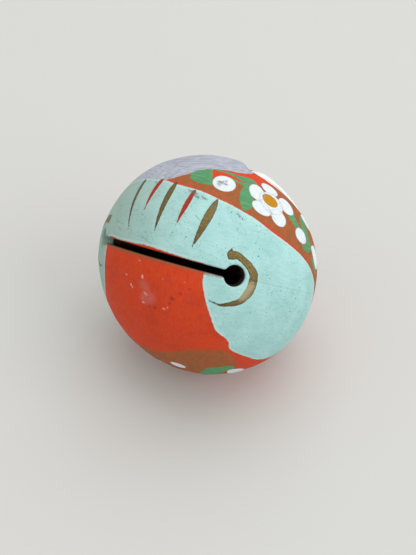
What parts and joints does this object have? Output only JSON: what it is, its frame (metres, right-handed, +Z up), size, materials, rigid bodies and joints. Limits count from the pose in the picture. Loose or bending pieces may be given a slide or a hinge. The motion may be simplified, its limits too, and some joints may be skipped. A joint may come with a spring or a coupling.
{
  "type": "round clay rattle bell",
  "caption": "Hand-painted round earthenware rattle bell lying on its side, with two luted half shells, a sound slit ended by round holes, and a loose pellet inside.",
  "frame": {"origin": "centre of the small flat that the bell rests on, on the surface it lies on", "axes": "+Z up from that surface; the bell lies on the side of its crown, with its base and slit turned up towards -Y and the round hole nearest the viewer to +X"},
  "size_m": [0.06, 0.06, 0.0598],
  "materials": {
    "painted_front": "matte hand-painted earthenware, mint green sash with gold and red strokes over an orange robe",
    "painted_rear": "matte hand-painted earthenware, orange red robe with a brown gold wash",
    "bare_clay": "unpainted fired clay, matte",
    "fired_pellet": "unpainted fired clay pellet, matte and slightly rough"
  },
  "bodies": {
    "shell": {"front_shell": "painted_front", "rear_shell": "painted_rear", "seam_roll": "bare_clay"},
    "pellet": {"rattle_pellet": "fired_pellet"}
  },
  "joints": [
    {"name": "pellet_slide", "type": "slide", "parent": "shell", "child": "pellet", "axis": [0, 0, 1], "range_m": [0, 0.0422]}
  ]
}
